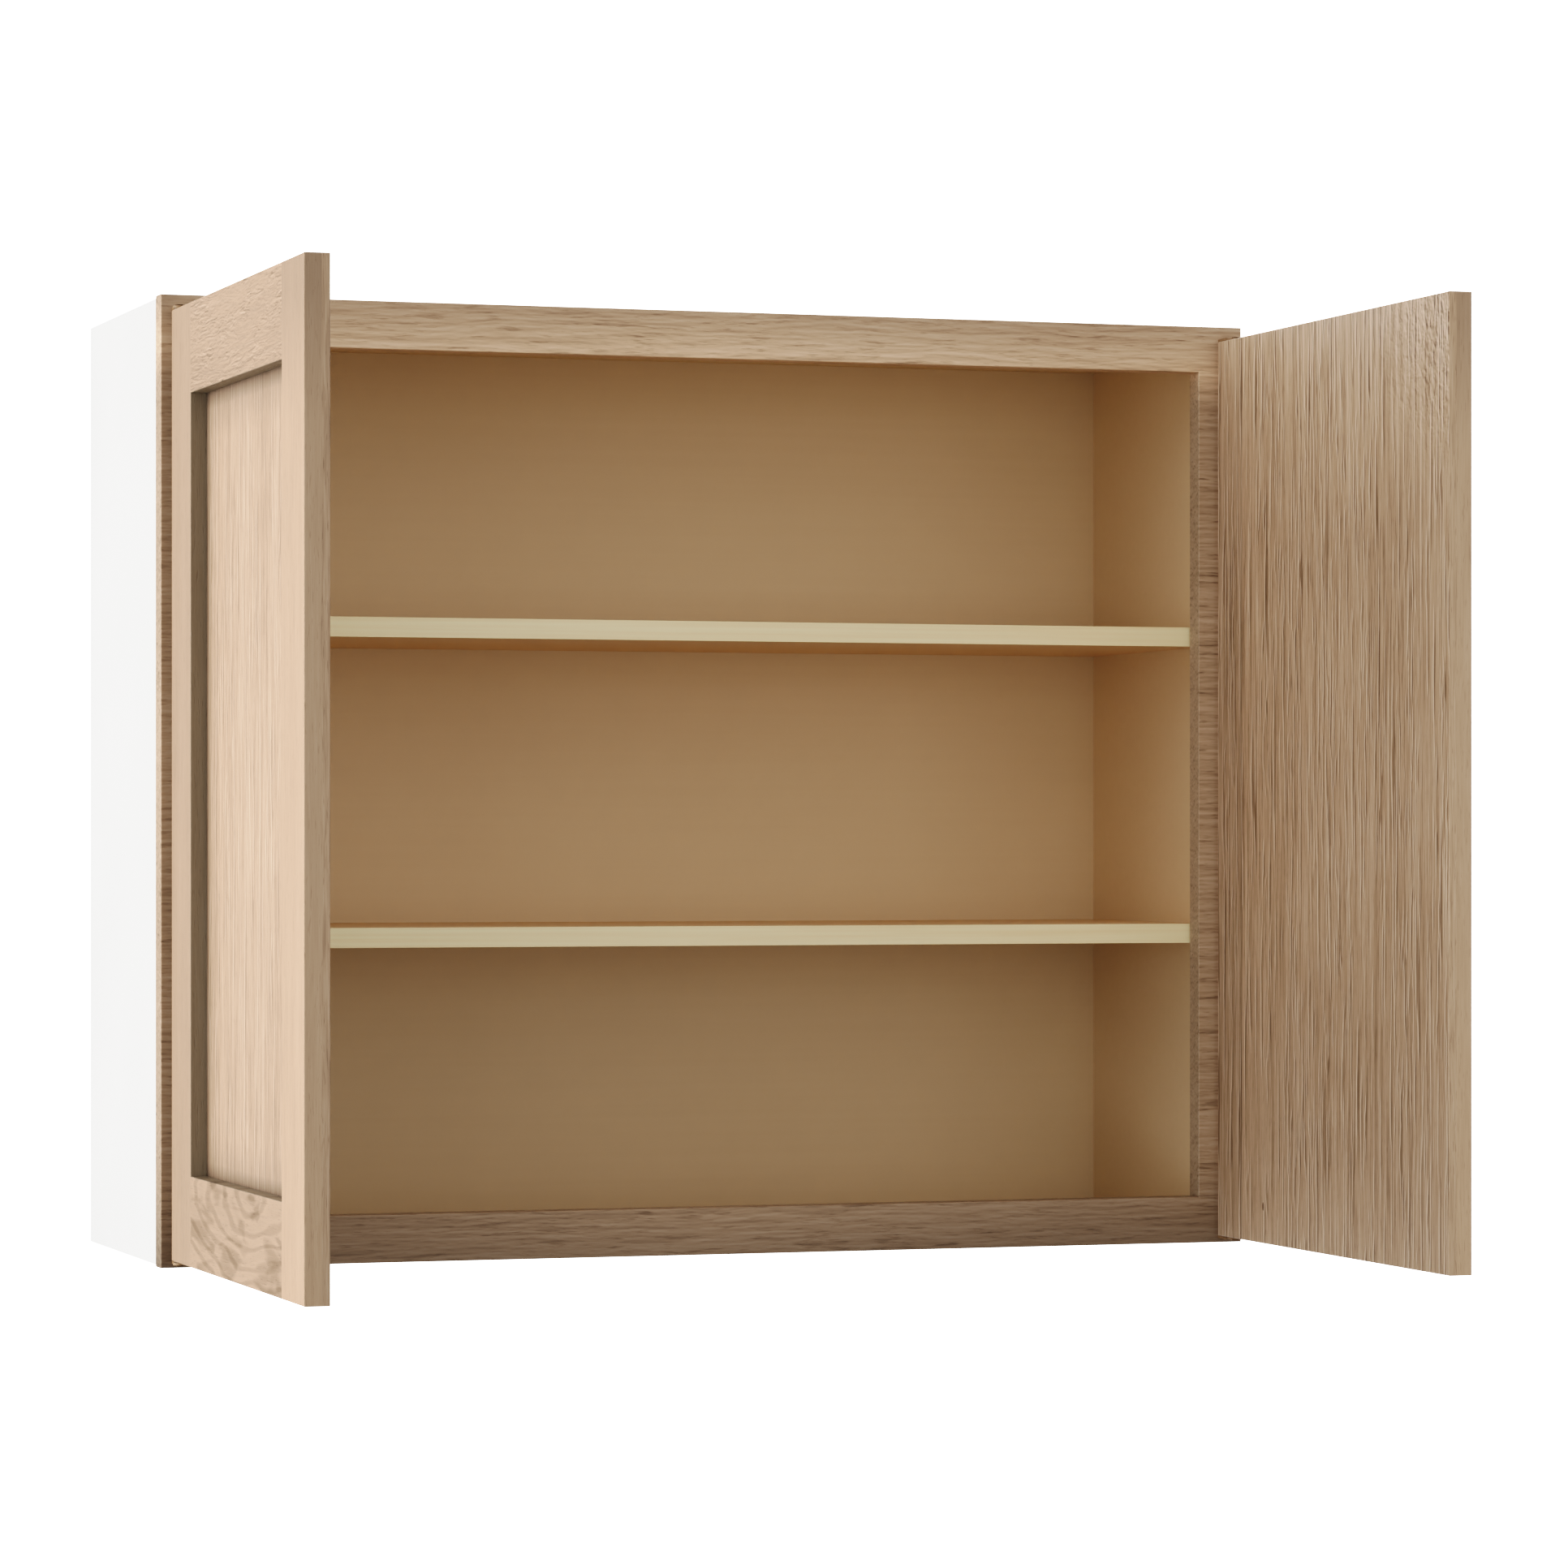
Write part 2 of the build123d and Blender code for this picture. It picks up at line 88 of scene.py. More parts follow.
class Paint:
    """One procedural material, with short calls for the nodes that it is built from."""

    def __init__(self, name):
        self.material = bpy.data.materials.new(name)
        self.material.use_nodes = True
        self.tree = self.material.node_tree
        self.shader = self.tree.nodes["Principled BSDF"]
        self.coordinates = self.tree.nodes.new("ShaderNodeTexCoord")
        self.place = self.coordinates.outputs["Object"]

    def put(self, socket, value):
        if isinstance(value, bpy.types.NodeSocket):
            self.tree.links.new(value, socket)
        else:
            socket.default_value = value

    def math(self, operation, first, second=0.0, third=0.0):
        node = self.tree.nodes.new("ShaderNodeMath")
        node.operation = operation
        for socket, value in zip(node.inputs, (first, second, third)):
            self.put(socket, value)
        return node.outputs[0]

    def vector(self, operation, first, second=(0.0, 0.0, 0.0)):
        node = self.tree.nodes.new("ShaderNodeVectorMath")
        node.operation = operation
        self.put(node.inputs[0], first)
        self.put(node.inputs[1], second)
        return node.outputs["Value" if operation in ("LENGTH", "DOT_PRODUCT") else "Vector"]

    def noise(self, where, detail=2.0, roughness=0.5, distortion=0.0):
        """Noise from 0 to 1, about 0.5, with features one unit of where across."""
        node = self.tree.nodes.new("ShaderNodeTexNoise")
        self.put(node.inputs["Vector"], where)
        node.inputs["Scale"].default_value = 1.0
        node.inputs["Detail"].default_value = detail
        node.inputs["Roughness"].default_value = roughness
        node.inputs["Distortion"].default_value = distortion
        return node.outputs["Fac"]

    def cloud(self, per_metre, detail=2.0):
        """Noise that is the same in every direction, with this many features in a metre."""
        return self.noise(self.vector("MULTIPLY", self.place, (per_metre,) * 3), detail)

    def grained(self, place, grain, length, width, **settings):
        """Noise with features this long along the grain and this wide across it, in metres."""
        return self.noise(self.vector("MULTIPLY", place, grain_scale(grain, length, width)), **settings)

    def step(self, value, low, high):
        """0 below low, 1 above high, and smooth between."""
        node = self.tree.nodes.new("ShaderNodeMapRange")
        node.interpolation_type = "SMOOTHSTEP"
        self.put(node.inputs["Value"], value)
        node.inputs["From Min"].default_value = low
        node.inputs["From Max"].default_value = high
        return node.outputs["Result"]

    def swing(self, value, amount):
        """How far a noise value is from its middle, times amount."""
        return self.math("MULTIPLY", self.math("SUBTRACT", value, 0.5), amount)

    def across(self, amount, grain):
        """A vector that is amount along both axes across the grain, and nothing along it."""
        node = self.tree.nodes.new("ShaderNodeCombineXYZ")
        for name, index in AXES.items():
            if name != grain:
                self.put(node.inputs[index], amount)
        return node.outputs["Vector"]

    def along(self, axis, low, high):
        """The place along an axis: 0 at low and 1 at high."""
        node = self.tree.nodes.new("ShaderNodeSeparateXYZ")
        self.put(node.inputs[0], self.place)
        reach = high - low
        return self.math("MULTIPLY_ADD", node.outputs[AXES[axis]], 1 / reach, -low / reach)

    def away(self, point, stretch=ONES):
        """How far a place is from a point, with each axis stretched by its own factor."""
        offset = self.vector("SUBTRACT", self.place, point)
        return self.vector("LENGTH", self.vector("MULTIPLY", offset, stretch))

    def total(self, *values):
        result = values[0]
        for value in values[1:]:
            result = self.math("ADD", result, value)
        return result

    def looking(self, direction):
        """1 on faces that look this way, 0 on the others."""
        facing = self.vector("DOT_PRODUCT", self.coordinates.outputs["Normal"], direction)
        return self.step(facing, 0.4, 0.6)

    def ramp(self, value, stops):
        node = self.tree.nodes.new("ShaderNodeValToRGB")
        self.put(node.inputs["Fac"], value)
        elements = node.color_ramp.elements
        while len(elements) < len(stops):
            elements.new(0.5)
        for element, (position, colour) in zip(elements, stops):
            element.position = position
            element.color = colour
        return node.outputs["Color"]

    def shades(self, value, stops):
        """A ramp of plain brightness: one number for each stop."""
        return self.ramp(value, [(position, (level, level, level, 1.0)) for position, level in stops])

    def scaled(self, colour, factor):
        """A colour made darker or lighter by a factor."""
        node = self.tree.nodes.new("ShaderNodeVectorMath")
        node.operation = "SCALE"
        self.put(node.inputs[0], colour)
        self.put(node.inputs["Scale"], factor)
        return node.outputs["Vector"]

    def tinted(self, colour, tint, share):
        """A colour times a tint, where share is 1, and just the colour where it is 0."""
        less = self.vector("SUBTRACT", tint, ONES)
        return self.vector("MULTIPLY", colour, self.vector("ADD", self.scaled(less, share), ONES))

    def mix(self, share, first, second):
        """Between two values: all first at share 0, all second at 1."""
        return self.math("MULTIPLY_ADD", self.math("SUBTRACT", second, first), share, first)

    def bump(self, height, distance):
        node = self.tree.nodes.new("ShaderNodeBump")
        node.inputs["Distance"].default_value = distance
        node.inputs["Strength"].default_value = 1.0
        self.put(node.inputs["Height"], height)
        self.tree.links.new(node.outputs["Normal"], self.shader.inputs["Normal"])

    def finish(self, colour, roughness, metallic=0.0, specular=0.5):
        self.put(self.shader.inputs["Base Color"], colour)
        self.put(self.shader.inputs["Roughness"], roughness)
        self.shader.inputs["Metallic"].default_value = metallic
        self.shader.inputs["Specular IOR Level"].default_value = specular
        return self.material


# ---- Oak -----------------------------------------------------------------------------------------

OAK_DARK = srgb(120, 97, 76)
OAK_MID = srgb(194, 167, 141)
OAK_LIGHT = srgb(226, 203, 180)

SEED_STEPS = (1.37, 2.11, 0.73)  # metres between two seeds' places in the grain


class Brush:
    """Open grain that was brushed out: each groove is dark, with a painted highlight on its lip on the lit
    side.
    """

    LIP_SHIFT = 0.35  # from a groove to its lip, in groove widths
    DEEP = (0.56, 0.70)  # noise values where a groove starts to be deep, and where it is all deep

    def __init__(self, length, width, lip, groove, lit):
        self.length = length  # of a groove, in metres
        self.width = width
        self.lip = lip  # how strongly the two edges of a groove differ: a painted highlight on one, painted shade on the other
        self.groove = groove  # how dark the deepest grooves are
        self.lit = Vector(lit)

    def apply(self, paint, layer, value, height):
        settings = {"detail": 3.0, "roughness": 0.6}
        shift = self.lit * (-self.LIP_SHIFT * self.width)
        here = layer(self.length, self.width, **settings)
        beside = layer(self.length, self.width, shift=shift, **settings)
        deep = paint.step(layer(0.6 * self.length, 0.8 * self.width, **settings), *self.DEEP)
        lips = paint.math("MULTIPLY", paint.math("SUBTRACT", here, beside), self.lip)
        change = paint.math("MULTIPLY_ADD", deep, -self.groove, lips)
        cut = paint.math("SUBTRACT", paint.math("MULTIPLY", here, 2.0), deep)
        return paint.math("ADD", change, value), paint.math("ADD", cut, height)


class Grooves:
    """Coarse open grain: fine lines, and among them dark grooves with a painted highlight on the lip on the
    lit side.
    """

    OTHER_FACE = 0.6  # how strong the grain is on the opposite face
    LIP_SHIFT = 0.0012  # from a groove to its lip, in metres
    DARK = 0.24  # how dark a groove is
    LIP = 0.85  # how light its lip is, as a painted highlight
    LINES = 1.05  # how much the fine lines vary
    RELIEF = 1.5  # how deep a groove is, next to the relief of plain grain

    def __init__(self, lit, side):
        self.lit = Vector(lit)
        self.side = Vector(side)  # the direction that the grooved face looks in

    def apply(self, paint, layer, value, height):
        crowd = paint.step(layer(0.30, 0.034, detail=1.0), 0.40, 0.60)

        def cuts(shift):
            long = paint.step(layer(0.15, 0.0056, shift=shift, detail=3.0), 0.57, 0.65)
            short = paint.step(layer(0.050, 0.0038, shift=shift, detail=2.0), 0.54, 0.66)
            return paint.math("MAXIMUM", long, paint.math("MULTIPLY", short, crowd))

        here = cuts((0.0, 0.0, 0.0))
        beside = cuts(self.lit * -self.LIP_SHIFT)
        lips = paint.math("MAXIMUM", paint.math("SUBTRACT", beside, here), 0.0)
        other = paint.looking(self.side * -1)
        share = paint.math("MULTIPLY_ADD", other, self.OTHER_FACE, paint.looking(self.side))
        change = paint.total(
            paint.math("MULTIPLY", here, -self.DARK),
            paint.math("MULTIPLY", lips, self.LIP),
            paint.swing(layer(0.20, 0.0058, detail=3.0, roughness=0.7), self.LINES),
        )
        relief = paint.math("MULTIPLY", share, -self.RELIEF)
        return (
            paint.math("MULTIPLY_ADD", change, share, value),
            paint.math("MULTIPLY_ADD", here, relief, height),
        )


def oak(name, grain, seed, tone=0.25, ring=0.2, streak=0.3, fine=0.15, pore=0.2, wander=0.004,
        emboss=0.0002, shade=1.0, figure=None, brush=None, edges=()):
    """Oak veneer or solid oak with its grain along one axis.

    tone, ring, streak and fine are how much bands about 70, 14, 4 and 1 mm wide vary in colour, and
    pore how dark the short open pores are. wander bends the grain, in metres. emboss is the relief.
    shade makes the piece darker or lighter, as painted light and shade: a factor, or a function that
    gives one for each place. figure adds a large pattern, at times with painted light and shade, and
    brush adds grooves with painted highlights on their lips. edges are directions, each with a tint of
    painted light and shade for the faces that look that way, such as painted shade on a recess's inner
    edges.
    """
    paint = Paint(name)
    place = paint.vector("ADD", paint.place, tuple(seed * step for step in SEED_STEPS))
    bend = paint.grained(place, grain, 0.16, 0.05, detail=1.0)
    place = paint.vector("ADD", place, paint.across(paint.swing(bend, 2 * wander), grain))

    def layer(length, width, shift=(0.0, 0.0, 0.0), **settings):
        return paint.grained(paint.vector("ADD", place, shift), grain, length, width, **settings)

    streaks = layer(0.075, 0.0036, detail=3.0, roughness=0.6)
    fines = layer(0.035, 0.0010, detail=2.0, roughness=0.6)
    pores = paint.step(layer(0.012, 0.0011, detail=1.0), 0.60, 0.74)

    value = paint.total(
        0.5,
        paint.swing(layer(0.60, 0.070, detail=1.0), tone),
        paint.swing(layer(0.35, 0.014, detail=2.0), ring),
        paint.swing(streaks, streak),
        paint.swing(fines, fine),
        paint.math("MULTIPLY", pores, -pore),
    )
    height = paint.total(
        paint.math("MULTIPLY", streaks, 0.5),
        paint.math("MULTIPLY", fines, 0.3),
        paint.math("MULTIPLY", pores, -0.5),
    )
    if figure:
        value = paint.math("ADD", value, figure(paint, place))
    if brush:
        value, height = brush.apply(paint, layer, value, height)
    colour = paint.ramp(value, ((0.0, OAK_DARK), (0.5, OAK_MID), (1.0, OAK_LIGHT)))
    colour = paint.scaled(colour, shade(paint) if callable(shade) else shade)
    for direction, tint in edges:
        colour = paint.tinted(colour, tint, paint.looking(direction))
    paint.bump(height, emboss)
    return paint.finish(colour, paint.math("MULTIPLY_ADD", streaks, 0.2, 0.42), specular=0.35)


def flecked(paint, place):
    """Wavy flecks with painted light and shade on their sides, and short dark pores, along Y."""

    def ripples(where):
        return paint.grained(where, "y", 0.034, 0.0040, detail=3.0, roughness=0.65, distortion=1.2)

    # Each ripple less the same ripple a little higher up: painted light and shade, as if the flecks were
    # raised and lit from one side.
    above = paint.vector("ADD", place, (0.0, 0.0, 0.0011))
    relief = paint.math("SUBTRACT", ripples(place), ripples(above))
    dashes = paint.grained(place, "y", 0.012, 0.0013, roughness=0.6, distortion=0.6)
    crowd = paint.step(paint.grained(place, "y", 0.080, 0.016), 0.42, 0.62)
    change = paint.total(
        paint.math("MULTIPLY", relief, 1.35),
        paint.math("MULTIPLY", paint.step(dashes, 0.58, 0.72), -0.28),
    )
    return paint.math("MULTIPLY_ADD", change, paint.mix(crowd, 0.35, 1.0), -0.06)


def flame(heart):
    """Nested arcs around a point, as where a board is cut across its growth rings."""
    spacing = 0.0118  # between two arcs, in metres
    wander = 0.034  # how far the arcs stray, in metres
    flatten = (0.0, 0.26, 1.0)  # arcs are about four times as long as they are high
    warp_scale = (7.0, 7.0, 26.0)  # features in a metre
    stain_scale = (12.0, 12.0, 48.0)

    def figure(paint, place):
        warp = paint.noise(paint.vector("MULTIPLY", place, warp_scale))
        bent = paint.math("ADD", paint.away(heart, flatten), paint.swing(warp, wander))
        wave = paint.math("SINE", paint.math("MULTIPLY", bent, 2 * math.pi / spacing))
        spots = paint.vector("MULTIPLY", place, stain_scale)
        stains = paint.noise(spots, roughness=0.6, distortion=0.5)
        return paint.total(
            paint.math("MULTIPLY", paint.step(wave, 0.1, 1.0), -0.18),
            paint.math("MULTIPLY", paint.step(stains, 0.50, 0.64), -0.20),
            paint.math("MULTIPLY", wave, 0.025),
        )

    return figure


def speckled_corner(corner, knot, side):
    """Short speckles around a corner of a sheet, painted light and dark as if raised and lit from one side,
    and one small dark pin knot lower down.
    """
    reach = (0.04, 0.16)  # from the corner, in metres: full strength to the first, none past the second
    knot_size = (0.0, 600.0, 270.0)  # one over the knot's half width and half height, in metres

    def figure(paint, place):
        def grit(where):
            return paint.grained(where, "z", 0.0100, 0.0070, roughness=0.6, distortion=0.4)

        near = paint.math("SUBTRACT", 1.0, paint.step(paint.away(corner), *reach))
        # Each speckle less the same grit a little beside it: a painted highlight and painted shade.
        beside = paint.vector("ADD", place, (0.0, -0.0014, 0.0010))
        speckles = paint.math("MULTIPLY", paint.math("SUBTRACT", grit(place), grit(beside)), 2.2)
        dark = paint.math("SUBTRACT", paint.step(paint.away(knot, knot_size), 0.6, 1.1), 1.0)
        change = paint.math("MULTIPLY_ADD", speckles, near, dark)
        return paint.math("MULTIPLY", change, paint.looking(side))

    return figure


# ---- Other materials -----------------------------------------------------------------------------


def interior_painted_shade(paint):
    """Painted shade on the case's laminate: darker in the lowest compartment, where less light reaches, but
    not on the back of the case.
    """
    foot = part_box("left_side_panel")[0].z
    shelf_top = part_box("lower_shelf")[1].z
    tone = paint.shades(paint.along("z", foot, shelf_top), ((0.0, 0.90), (0.92, 0.965), (1.0, 1.0)))
    return paint.mix(paint.looking(BACKWARD), tone, 1.0)


def tan_laminate(name, dark, light, shade=None):
    """Tan printed laminate with a faint grain."""
    paint = Paint(name)
    cloud = paint.cloud(6.0)
    print_grain = paint.grained(paint.place, "x", 0.30, 0.006, detail=3.0)
    value = paint.total(0.5, paint.swing(cloud, 0.35), paint.swing(print_grain, 0.22))
    colour = paint.ramp(value, ((0.0, dark), (1.0, light)))
    if shade:
        colour = paint.scaled(colour, shade(paint))
    paint.bump(paint.cloud(900.0), 0.00004)
    return paint.finish(colour, paint.math("MULTIPLY_ADD", cloud, 0.12, 0.46), specular=0.3)


def white_laminate():
    """White melamine with a faint orange-peel surface."""
    paint = Paint("white_laminate")
    cloud = paint.cloud(5.0)
    colour = paint.ramp(cloud, ((0.2, srgb(232, 231, 228)), (0.8, srgb(239, 238, 235))))
    paint.bump(paint.cloud(420.0), 0.00005)
    return paint.finish(colour, paint.math("MULTIPLY_ADD", cloud, 0.1, 0.38))


def edge_band():
    """Cream edge banding."""
    paint = Paint("edge_band")
    lines = paint.grained(paint.place, "x", 0.20, 0.003, detail=3.0)
    colour = paint.ramp(lines, ((0.25, srgb(250, 230, 188)), (0.75, srgb(255, 242, 203))))
    paint.bump(lines, 0.00006)
    return paint.finish(colour, paint.math("MULTIPLY_ADD", lines, 0.15, 0.40), specular=0.4)


def plain_wood(name, dark, light):
    """Close-grained unfinished wood, for dowels and hanging rails."""
    paint = Paint(name)
    lines = paint.grained(paint.place, "x", 0.09, 0.0025, detail=3.0)
    flecks = paint.step(paint.grained(paint.place, "x", 0.006, 0.0008, detail=1.0), 0.6, 0.7)
    value = paint.total(0.5, paint.swing(lines, 0.8), paint.math("MULTIPLY", flecks, -0.3))
    paint.bump(lines, 0.0001)
    return paint.finish(paint.ramp(value, ((0.0, dark), (1.0, light))), 0.65, specular=0.3)


def hinge_steel():
    """Steel with a burnished brown finish, brushed along its length, with small worn patches."""
    paint = Paint("hinge_steel")
    brushed = paint.grained(paint.place, "z", 0.02, 0.0003)
    patches = paint.cloud(260.0, detail=3.0)
    value = paint.total(0.4, paint.swing(brushed, 0.5), paint.swing(patches, 0.8))
    colour = paint.ramp(value, ((0.0, srgb(58, 45, 34)), (1.0, srgb(112, 92, 70))))
    paint.bump(brushed, 0.00002)
    return paint.finish(colour, paint.math("MULTIPLY_ADD", patches, 0.2, 0.48), metallic=1.0)


def hinge_coating():
    """Oak-brown lacquer on steel, with a fine hammered surface."""
    paint = Paint("hinge_coating")
    dimples = paint.cloud(700.0)
    colour = paint.ramp(paint.cloud(60.0), ((0.3, srgb(138, 112, 86)), (0.7, srgb(160, 132, 104))))
    paint.bump(dimples, 0.00004)
    return paint.finish(colour, paint.math("MULTIPLY_ADD", dimples, 0.15, 0.42), specular=0.4)


def nylon():
    """Brown moulded nylon."""
    paint = Paint("nylon")
    cloud = paint.cloud(400.0)
    colour = paint.ramp(cloud, ((0.3, srgb(124, 100, 76)), (0.7, srgb(142, 116, 90))))
    paint.bump(cloud, 0.00002)
    return paint.finish(colour, 0.5)


# ---- The face frame ------------------------------------------------------------------------------

# Painted light on each piece's edges that look left: the left stile's outer edge lighter, the right stile's
# inner edge cooler.
FRAME_LEFT_PAINTED_LIGHT = {
    "left_stile": (1.3, 1.3, 1.3),
    "right_stile": (1.0, 1.08, 1.15),
    "top_rail": ONES,
    "bottom_rail": ONES,
}


def frame_painted_light(paint):
    """Painted light and shade on the face frame's boards: palest along the top of the opening, darkest at
    the bottom and the left, and a little darker near the right door.
    """
    low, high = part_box("face_frame_left_stile")
    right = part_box("face_frame_right_stile")[1]
    up = paint.shades(
        paint.along("z", low.z, high.z),
        ((0.0, 0.52), (0.05, 0.75), (0.09, 0.92), (0.5, 1.08), (0.91, 0.98), (0.95, 1.5), (1.0, 0.98)),
    )
    sideways = paint.shades(
        paint.along("x", low.x, right.x),
        ((0.0, 0.62), (0.06, 0.92), (0.5, 1.04), (0.85, 0.87), (1.0, 0.94)),
    )
    return paint.math("MULTIPLY", up, sideways)


for board, left_painted_light in FRAME_LEFT_PAINTED_LIGHT.items():
    frame_oak = oak(
        "oak_frame_" + board, "x", seed=1.0, tone=0.20, ring=0.30, streak=0.18, fine=0.10, pore=0.10,
        shade=frame_painted_light, brush=Brush(length=0.055, width=0.0044, lip=0.8, groove=0.20, lit=DOWN),
        edges=((LEFT, left_painted_light),),
    )
    dress(frame_oak, "face_frame_" + board)

# ---- The doors -----------------------------------------------------------------------------------

STILE = {"grain": "z", "tone": 0.12, "ring": 0.12, "streak": 0.22, "fine": 0.20, "pore": 0.08}
RAIL = {"grain": "y", "ring": 0.1, "streak": 0.1, "pore": 0.1}
SHEET = {
    "grain": "z", "tone": 0.18, "ring": 0.22, "streak": 0.50, "fine": 0.62, "pore": 0.12,
    "wander": 0.0015, "emboss": 0.0003,
}

# Painted light and shade: tints of faces that look in one direction.
INNER_EDGE_SHADE = (0.53, 0.61, 0.65)  # painted shade on the edges around the recess
# painted tone on the doors' outer faces, where the strongest light falls: a little darker and warmer
OUTER_FACE = (0.98, 0.93, 0.90)
# painted light and shade on the doors' free edges: the left door's darker, the right door's lighter
FREE_EDGE_LIGHT = {"left": (0.80, 0.80, 0.80), "right": (1.04, 1.04, 1.04)}
INNER_FACE = {"left": ONES, "right": (1.0, 1.02, 1.05)}  # of the sheet; on the right door a cooler tone, painted against the warm light bounced onto that face

# Painted shade darkens the recess along its walls. For each: the board that makes the wall, the axis across
# it, whether the wall is at that board's low or high end, how far the dark rim reaches into the recess,
# and its tone at the wall.
RIMS = (
    ("hinge_stile", "y", "low", -0.048, 0.28),
    ("latch_stile", "y", "high", 0.012, 0.72),
    ("top_rail", "z", "low", -0.038, 0.30),
    ("bottom_rail", "z", "high", 0.032, 0.40),
)

HINGE_STRIP = 0.0505  # width of the darker strip along the right door's hinge edge
STRIP_LINE = 0.002  # from the dark side of the line where that strip ends to the light side

HEART_ACROSS = 0.33  # the middle of the bottom rail's arcs, as a share of the rail from its free end
HEART_BELOW = 0.004  # and from the rail's top edge
KNOT_FROM_HINGE = 0.095  # the sheet's pin knot, from its hinge edge
KNOT_FROM_FOOT = 0.030


def latch_shade(paint):
    """The latch stiles: a little darker at the top."""
    low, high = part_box("right_door_latch_stile")
    return paint.shades(paint.along("z", low.z, high.z), ((0.0, 1.0), (0.84, 0.98), (0.97, 0.76)))


def recess_rim(paint, door, rim, outer):
    """The painted shade on the sheet's outer face near one wall of the recess."""
    board, axis, end, reach, darkest = rim
    low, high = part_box(door + board)
    wall = (low if end == "low" else high)[AXES[axis]]
    softer = 0.25 * darkest + 0.75  # a quarter of the darkening is left a third of the way out
    from_wall = paint.along(axis, wall, wall + reach)
    tone = paint.shades(from_wall, ((0.0, darkest), (0.35, softer), (1.0, 1.0)))
    return paint.mix(outer, 1.0, tone)


def hinge_strip_tone(paint, height):
    """A darker strip along the right door's hinge edge and the dark line where it ends, with painted light
    over the strip and just past the line.
    """
    low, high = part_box("right_door_back_sheet")
    width = high.y - low.y
    joint = HINGE_STRIP / width
    line = STRIP_LINE / width
    across = paint.along("y", high.y, low.y)
    past_strip = paint.step(across, joint, joint + line)
    # the darker strip's tone, darker lower down
    leaf = paint.shades(height, ((0.0, 0.92), (0.6, 0.90), (0.85, 0.94), (1.0, 1.0)))
    # painted light over the strip and just past the line, against the light's fall-off towards the hinge,
    # with the dark line between
    line_and_light = paint.shades(across, (
        (0.0, 1.07), (joint - 2 * line, 1.07), (joint, 0.82), (joint + line, 1.14),
        (joint + 4 * line, 1.10), (0.55, 1.0),
    ))
    return paint.math("MULTIPLY", line_and_light, paint.mix(past_strip, leaf, 1.0))


def sheet_shade(side):
    """Painted shade on the sheet: darker at the foot, and around the recess on its outer face.

    On the right door, a darker strip also lies along the hinge edge, with painted light near it.
    """
    door = side + "_door_"
    low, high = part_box(door + "back_sheet")

    def shade(paint):
        height = paint.along("z", low.z, high.z)
        tone = paint.shades(height, ((0.0, 0.90), (0.45, 1.0), (1.0, 0.97)))
        outer = paint.looking(OUTWARD[side])
        for rim in RIMS:
            tone = paint.math("MULTIPLY", tone, recess_rim(paint, door, rim, outer))
        if side == "right":
            tone = paint.math("MULTIPLY", tone, hinge_strip_tone(paint, height))
        return tone

    return shade


def dress_door(side, seed):
    """A door's oak. Each board has its own seed, so that no two have the same grain."""
    door = side + "_door_"
    outer = (OUTWARD[side], OUTER_FACE)
    free_edge = (FORWARD, FREE_EDGE_LIGHT[side])
    low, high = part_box(door + "bottom_rail")
    heart = (0.0, low.y + HEART_ACROSS * (high.y - low.y), high.z - HEART_BELOW)
    low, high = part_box(door + "back_sheet")
    inner_face = high.x if side == "left" else low.x
    top_corner = (inner_face, low.y, high.z)
    knot = (inner_face, high.y - KNOT_FROM_HINGE, low.z + KNOT_FROM_FOOT)
    # The boards' shade factors are painted shade, following how the light falls across the door: the hinge
    # stile darkest, the rails a little darker than the latch stile.
    boards = {
        "hinge_stile": dict(STILE, shade=0.80, edges=(outer, (FORWARD, INNER_EDGE_SHADE))),
        "latch_stile": dict(STILE, shade=latch_shade, edges=(outer, free_edge, (BACKWARD, INNER_EDGE_SHADE))),
        "top_rail": dict(RAIL, shade=0.88, edges=(outer, (DOWN, INNER_EDGE_SHADE)), figure=flecked),
        "bottom_rail": dict(RAIL, shade=0.87, edges=(outer, (UP, INNER_EDGE_SHADE)), figure=flame(heart)),
        "back_sheet": dict(
            SHEET,
            shade=sheet_shade(side),
            edges=(outer, (INWARD[side], INNER_FACE[side]), free_edge),
            figure=speckled_corner(top_corner, knot, INWARD[side]),
            brush=Grooves(BACKWARD, INWARD[side]),
        ),
    }
    for number, (board, look) in enumerate(boards.items()):
        dress(oak("oak_" + door + board, seed=seed + number, **look), door + board)


dress_door("left", 3.0)
dress_door("right", 8.0)

# ---- The case, the dowels and the hinges ---------------------------------------------------------

dress(
    tan_laminate("interior_laminate", srgb(226, 204, 172), srgb(240, 221, 192), interior_painted_shade),
    "left_side_panel",
    "right_side_panel",
    "top_panel",
    "bottom_panel",
    "back_panel",
)
dress(tan_laminate("shelf_laminate", srgb(226, 196, 158), srgb(240, 212, 176)), "upper_shelf", "lower_shelf")
dress(white_laminate(), "left_side_facing", "right_side_facing")
dress(edge_band(), "upper_shelf_edge_band", "lower_shelf_edge_band")
dress(
    plain_wood("rail_wood", srgb(176, 140, 98), srgb(214, 184, 142)),
    "upper_hanging_rail",
    "lower_hanging_rail",
)
dress(
    plain_wood("beech_dowel", srgb(196, 156, 112), srgb(226, 194, 152)),
    *[name for name in nodes if name.endswith("_dowels")],
)
dress(hinge_coating(), *[name for name in nodes if name.endswith("_leaf")])
dress(hinge_steel(), *[name for name in nodes if name.endswith(("_pin", "_screws"))])
dress(nylon(), *[name for name in nodes if name.endswith("_washers")])

